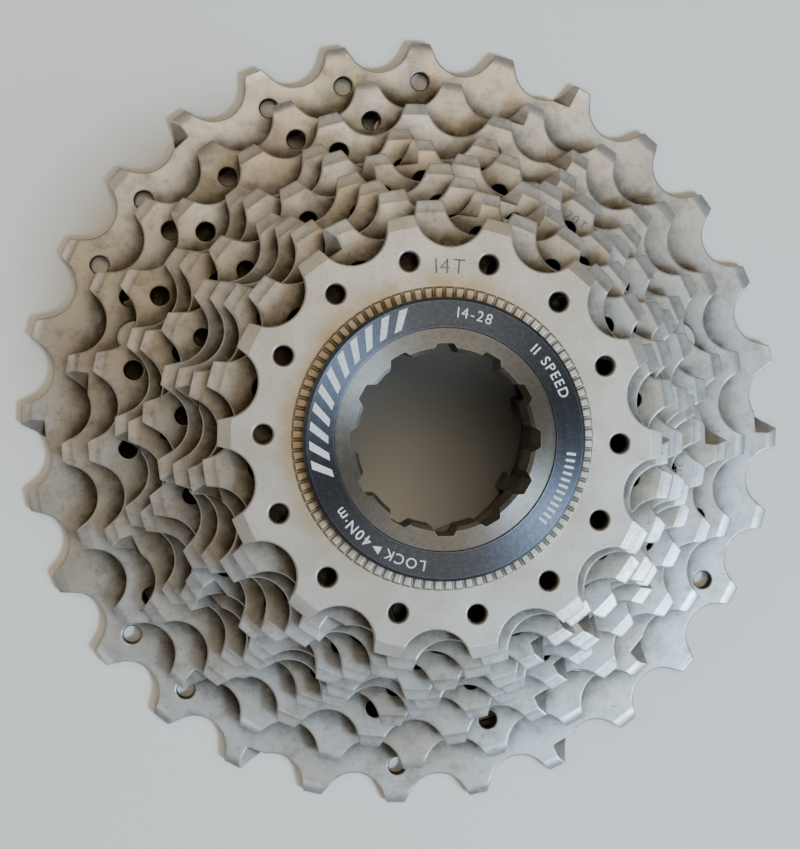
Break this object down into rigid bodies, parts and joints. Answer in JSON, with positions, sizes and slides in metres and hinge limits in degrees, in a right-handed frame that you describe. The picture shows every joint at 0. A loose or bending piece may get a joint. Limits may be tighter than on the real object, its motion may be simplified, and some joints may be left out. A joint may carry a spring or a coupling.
{
  "type": "cassette sprocket",
  "caption": "Bicycle cassette: a stepped stack of toothed steel sprockets on a splined bore, the largest riveted to an alloy spider, with spacers, washer and a threaded lock ring on top.",
  "frame": {"origin": "on the bore axis, in the plane of the back face of the largest sprocket, which the object lies on", "axes": "+Z along the bore axis from the largest sprocket to the smallest; +X to the right and +Y up in the plane of the sprockets"},
  "size_m": [0.1142, 0.1142, 0.0413],
  "materials": {
    "sprocket_plate": "satin nickel plate, worn, with old grease in the tooth gaps",
    "top_sprocket_plate": "pale satin nickel plate",
    "spider_alloy": "satin, cast and machined",
    "rivet_steel": "satin, set by a press",
    "spacer_alloy": "satin anodised",
    "washer_steel": "satin",
    "lock_ring_anodised": "black anodised band, bare machined inner ring"
  },
  "bodies": {
    "riveted_group": {"spider": "spider_alloy", "sprocket_28t": "sprocket_plate", "sprocket_25t": "sprocket_plate", "sprocket_23t": "sprocket_plate", "outer_rivets": "rivet_steel", "inner_rivets": "rivet_steel"},
    "spacer_21": {"spacer_under_21t": "spacer_alloy"},
    "cog_21": {"sprocket_21t": "sprocket_plate"},
    "spacer_20": {"spacer_under_20t": "spacer_alloy"},
    "cog_20": {"sprocket_20t": "sprocket_plate"},
    "spacer_19": {"spacer_under_19t": "spacer_alloy"},
    "cog_19": {"sprocket_19t": "sprocket_plate"},
    "spacer_18": {"spacer_under_18t": "spacer_alloy"},
    "cog_18": {"sprocket_18t": "sprocket_plate"},
    "spacer_17": {"spacer_under_17t": "spacer_alloy"},
    "cog_17": {"sprocket_17t": "sprocket_plate"},
    "spacer_16": {"spacer_under_16t": "spacer_alloy"},
    "cog_16": {"sprocket_16t": "sprocket_plate"},
    "spacer_15": {"spacer_under_15t": "spacer_alloy"},
    "cog_15": {"sprocket_15t": "sprocket_plate"},
    "cog_14": {"sprocket_14t": "top_sprocket_plate"},
    "washer": {"lock_washer": "washer_steel"},
    "lock_ring": {"lock_ring": "lock_ring_anodised"}
  },
  "joints": [
    {"name": "spacer_21_lift", "type": "slide", "parent": "riveted_group", "child": "spacer_21", "axis": [0, 0, 1], "range_m": [0, 0.01]},
    {"name": "cog_21_lift", "type": "slide", "parent": "spacer_21", "child": "cog_21", "axis": [0, 0, 1], "range_m": [0, 0.01]},
    {"name": "spacer_20_lift", "type": "slide", "parent": "cog_21", "child": "spacer_20", "axis": [0, 0, 1], "range_m": [0, 0.01]},
    {"name": "cog_20_lift", "type": "slide", "parent": "spacer_20", "child": "cog_20", "axis": [0, 0, 1], "range_m": [0, 0.01]},
    {"name": "spacer_19_lift", "type": "slide", "parent": "cog_20", "child": "spacer_19", "axis": [0, 0, 1], "range_m": [0, 0.01]},
    {"name": "cog_19_lift", "type": "slide", "parent": "spacer_19", "child": "cog_19", "axis": [0, 0, 1], "range_m": [0, 0.01]},
    {"name": "spacer_18_lift", "type": "slide", "parent": "cog_19", "child": "spacer_18", "axis": [0, 0, 1], "range_m": [0, 0.01]},
    {"name": "cog_18_lift", "type": "slide", "parent": "spacer_18", "child": "cog_18", "axis": [0, 0, 1], "range_m": [0, 0.01]},
    {"name": "spacer_17_lift", "type": "slide", "parent": "cog_18", "child": "spacer_17", "axis": [0, 0, 1], "range_m": [0, 0.01]},
    {"name": "cog_17_lift", "type": "slide", "parent": "spacer_17", "child": "cog_17", "axis": [0, 0, 1], "range_m": [0, 0.01]},
    {"name": "spacer_16_lift", "type": "slide", "parent": "cog_17", "child": "spacer_16", "axis": [0, 0, 1], "range_m": [0, 0.01]},
    {"name": "cog_16_lift", "type": "slide", "parent": "spacer_16", "child": "cog_16", "axis": [0, 0, 1], "range_m": [0, 0.01]},
    {"name": "spacer_15_lift", "type": "slide", "parent": "cog_16", "child": "spacer_15", "axis": [0, 0, 1], "range_m": [0, 0.01]},
    {"name": "cog_15_lift", "type": "slide", "parent": "spacer_15", "child": "cog_15", "axis": [0, 0, 1], "range_m": [0, 0.01]},
    {"name": "cog_14_lift", "type": "slide", "parent": "cog_15", "child": "cog_14", "axis": [0, 0, 1], "range_m": [0, 0.01]},
    {"name": "lock_ring_rise", "type": "slide", "parent": "cog_14", "child": "washer", "axis": [0, 0, 1], "range_m": [0, 0.00688]},
    {"name": "lock_ring_turn", "type": "hinge", "parent": "washer", "child": "lock_ring", "pos_m": [0, 0, 0.0406], "axis": [0, 0, 1], "range_deg": [0, 2339.99]}
  ],
  "couplings": [
    {"joint": "lock_ring_rise", "follows": "lock_ring_turn", "m_per_rad": 0.00016839}
  ]
}
